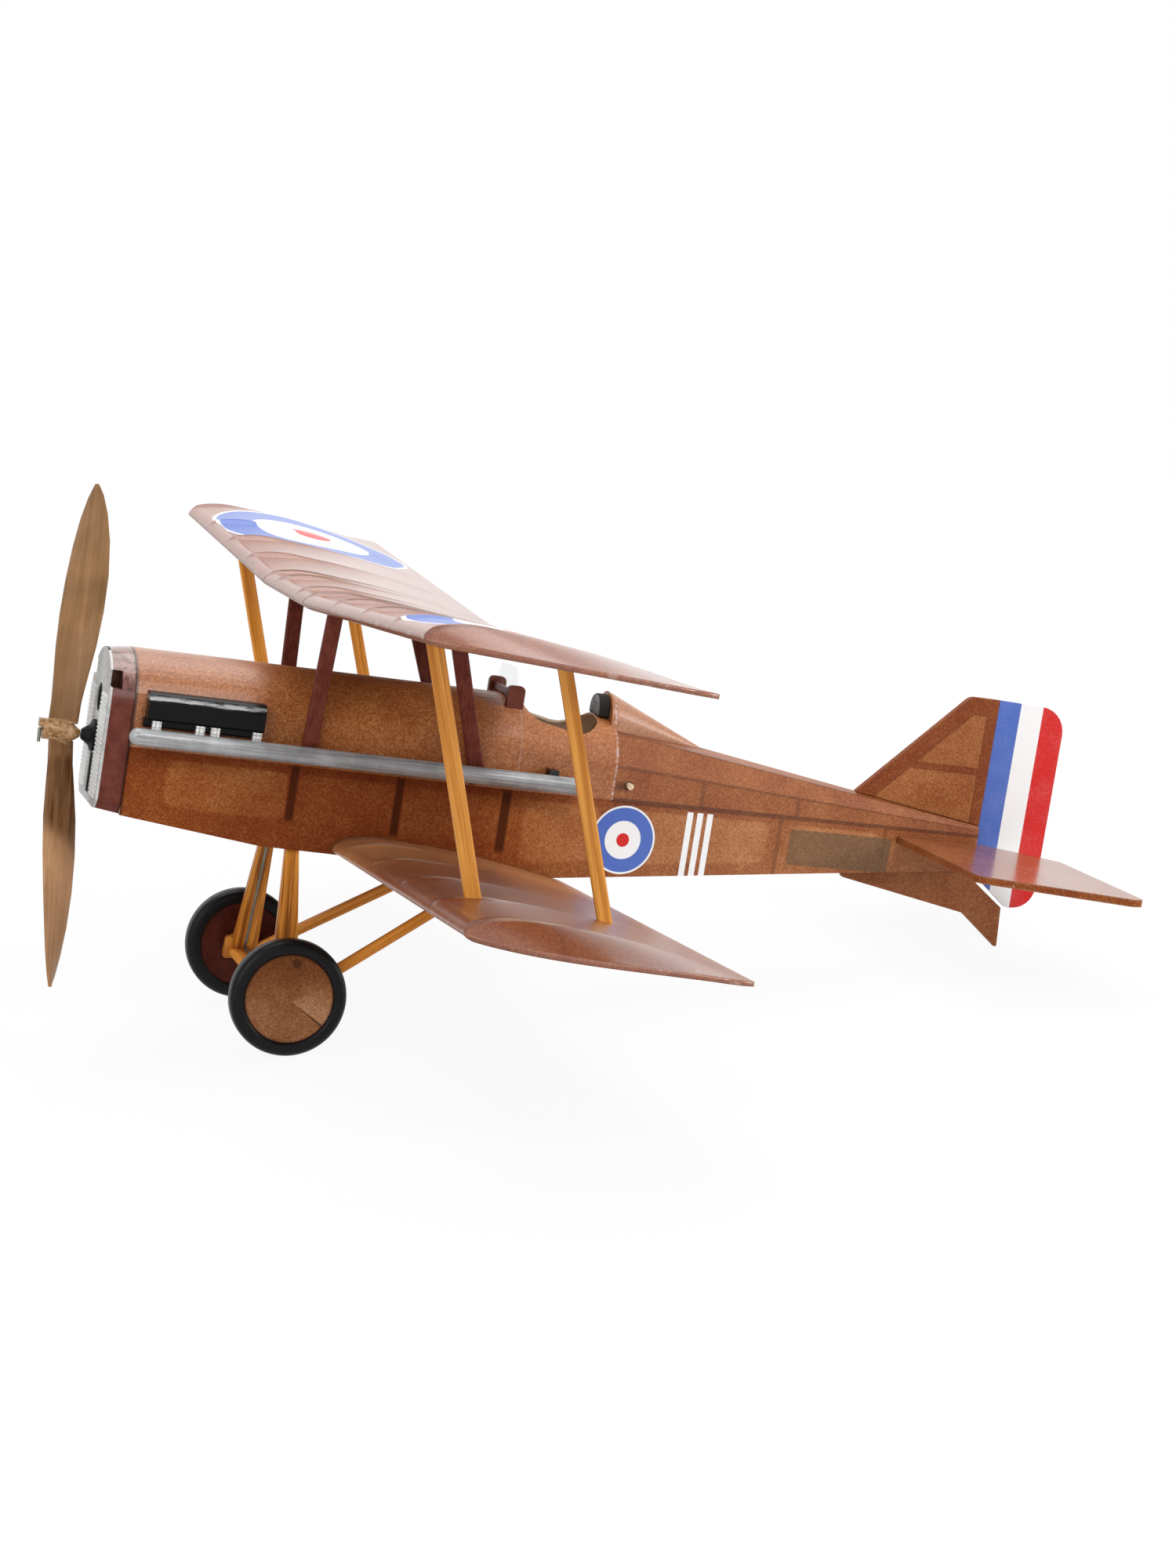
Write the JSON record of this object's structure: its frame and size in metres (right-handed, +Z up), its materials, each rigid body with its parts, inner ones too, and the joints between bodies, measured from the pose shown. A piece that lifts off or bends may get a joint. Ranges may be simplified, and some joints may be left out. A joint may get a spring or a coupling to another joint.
{
  "type": "biplane scale model",
  "caption": "Rubber-powered flying scale biplane of sticks, card and tissue: staggered wings on struts, two wheels, tail skid, turning propeller and pull-out nose block.",
  "frame": {"origin": "on the ground, below the middle of the model's bounding box", "axes": "+X towards the propeller, +Y towards the port wing tip, +Z up; the ground under the wheels and the tail skid is Z = 0"},
  "size_m": [0.3346, 0.3804, 0.1663],
  "materials": {
    "balsa": "sanded bare balsa",
    "body_tissue": "doped kraft-brown tissue, satin",
    "upper_wing_tissue": "doped pale brown tissue, satin",
    "lower_wing_tissue": "doped brown tissue, satin",
    "card": "rolled brown card, matt",
    "pad": "dark grey padded leathercloth",
    "screen": "clear acetate sheet",
    "red_brown_wood": "dark red-brown paint on wood",
    "gloss_black": "gloss black",
    "pipe_silver": "silver-grey paint",
    "stained_wood": "amber stain and varnish",
    "wire": "bare piano wire",
    "striped_tissue": "tissue with blue, white and red bands",
    "radiator_silver": "silver paint with hatched shutters",
    "propeller_wood": "varnished tan wood",
    "tyre": "satin black",
    "wheel_red": "dark red-brown paint",
    "wheel_card": "brown paper cone",
    "dowel": "bare birch dowel",
    "rubber_strip": "tan rubber strip"
  },
  "bodies": {
    "airframe": {"port_side_frame": "balsa", "starboard_side_frame": "balsa", "formers": "balsa", "rear_stringers": "balsa", "port_side_tissue": "body_tissue", "starboard_side_tissue": "body_tissue", "belly_tissue": "body_tissue", "turtledeck_tissue": "body_tissue", "front_deck": "card", "cockpit_coaming": "card", "headrest_pad": "pad", "headrest_fairing": "card", "windscreen": "screen", "windscreen_brackets": "red_brown_wood", "port_manifold": "gloss_black", "starboard_manifold": "gloss_black", "exhaust_stubs": "pipe_silver", "port_exhaust_pipe": "pipe_silver", "starboard_exhaust_pipe": "pipe_silver", "pipe_brackets": "gloss_black", "upper_wing_ribs": "balsa", "upper_wing_spars": "balsa", "upper_wing_tips": "upper_wing_tissue", "upper_centre_tissue": "upper_wing_tissue", "port_upper_tissue": "upper_wing_tissue", "starboard_upper_tissue": "upper_wing_tissue", "lower_wing_ribs": "balsa", "lower_wing_spars": "balsa", "lower_wing_tips": "lower_wing_tissue", "port_lower_tissue": "lower_wing_tissue", "starboard_lower_tissue": "lower_wing_tissue", "port_interplane_struts": "stained_wood", "starboard_interplane_struts": "stained_wood", "port_cabane_struts": "red_brown_wood", "starboard_cabane_struts": "red_brown_wood", "port_undercarriage_legs": "stained_wood", "starboard_undercarriage_legs": "stained_wood", "spreader_bar": "stained_wood", "undercarriage_wire": "wire", "fin_frame": "balsa", "fin_tissue": "body_tissue", "rudder": "striped_tissue", "tailplane_frame": "balsa", "tailplane_tissue": "body_tissue", "tail_skid": "red_brown_wood", "rubber_motor": "rubber_strip"},
    "nose_plug": {"nose_block": "red_brown_wood", "radiator_front": "radiator_silver", "thrust_bearing": "gloss_black"},
    "propeller": {"propeller": "propeller_wood", "propeller_shaft": "wire"},
    "port_wheel": {"port_tyre": "tyre", "port_wheel_hub": "wheel_red", "port_wheel_cover": "wheel_card"},
    "starboard_wheel": {"starboard_tyre": "tyre", "starboard_wheel_hub": "wheel_red", "starboard_wheel_cover": "wheel_card"},
    "motor_peg": {"motor_peg": "dowel"}
  },
  "joints": [
    {"name": "nose_plug_slide", "type": "slide", "parent": "airframe", "child": "nose_plug", "axis": [0.9807, 0, 0.1957], "range_m": [0, 0.04], "deforming": ["rubber_motor"]},
    {"name": "propeller_spin", "type": "hinge", "parent": "nose_plug", "child": "propeller", "pos_m": [0.15441, 0, 0.09565], "axis": [0.9807, 0, 0.1957], "continuous": true, "deforming": ["rubber_motor"]},
    {"name": "port_wheel_spin", "type": "hinge", "parent": "airframe", "child": "port_wheel", "pos_m": [0.09802, 0.037, 0.0175], "axis": [0, 1, 0], "continuous": true},
    {"name": "starboard_wheel_spin", "type": "hinge", "parent": "airframe", "child": "starboard_wheel", "pos_m": [0.09802, -0.037, 0.0175], "axis": [0, 1, 0], "continuous": true},
    {"name": "motor_peg_slide", "type": "slide", "parent": "airframe", "child": "motor_peg", "axis": [0, 1, 0], "range_m": [0, 0.012], "deforming": ["rubber_motor"]}
  ]
}
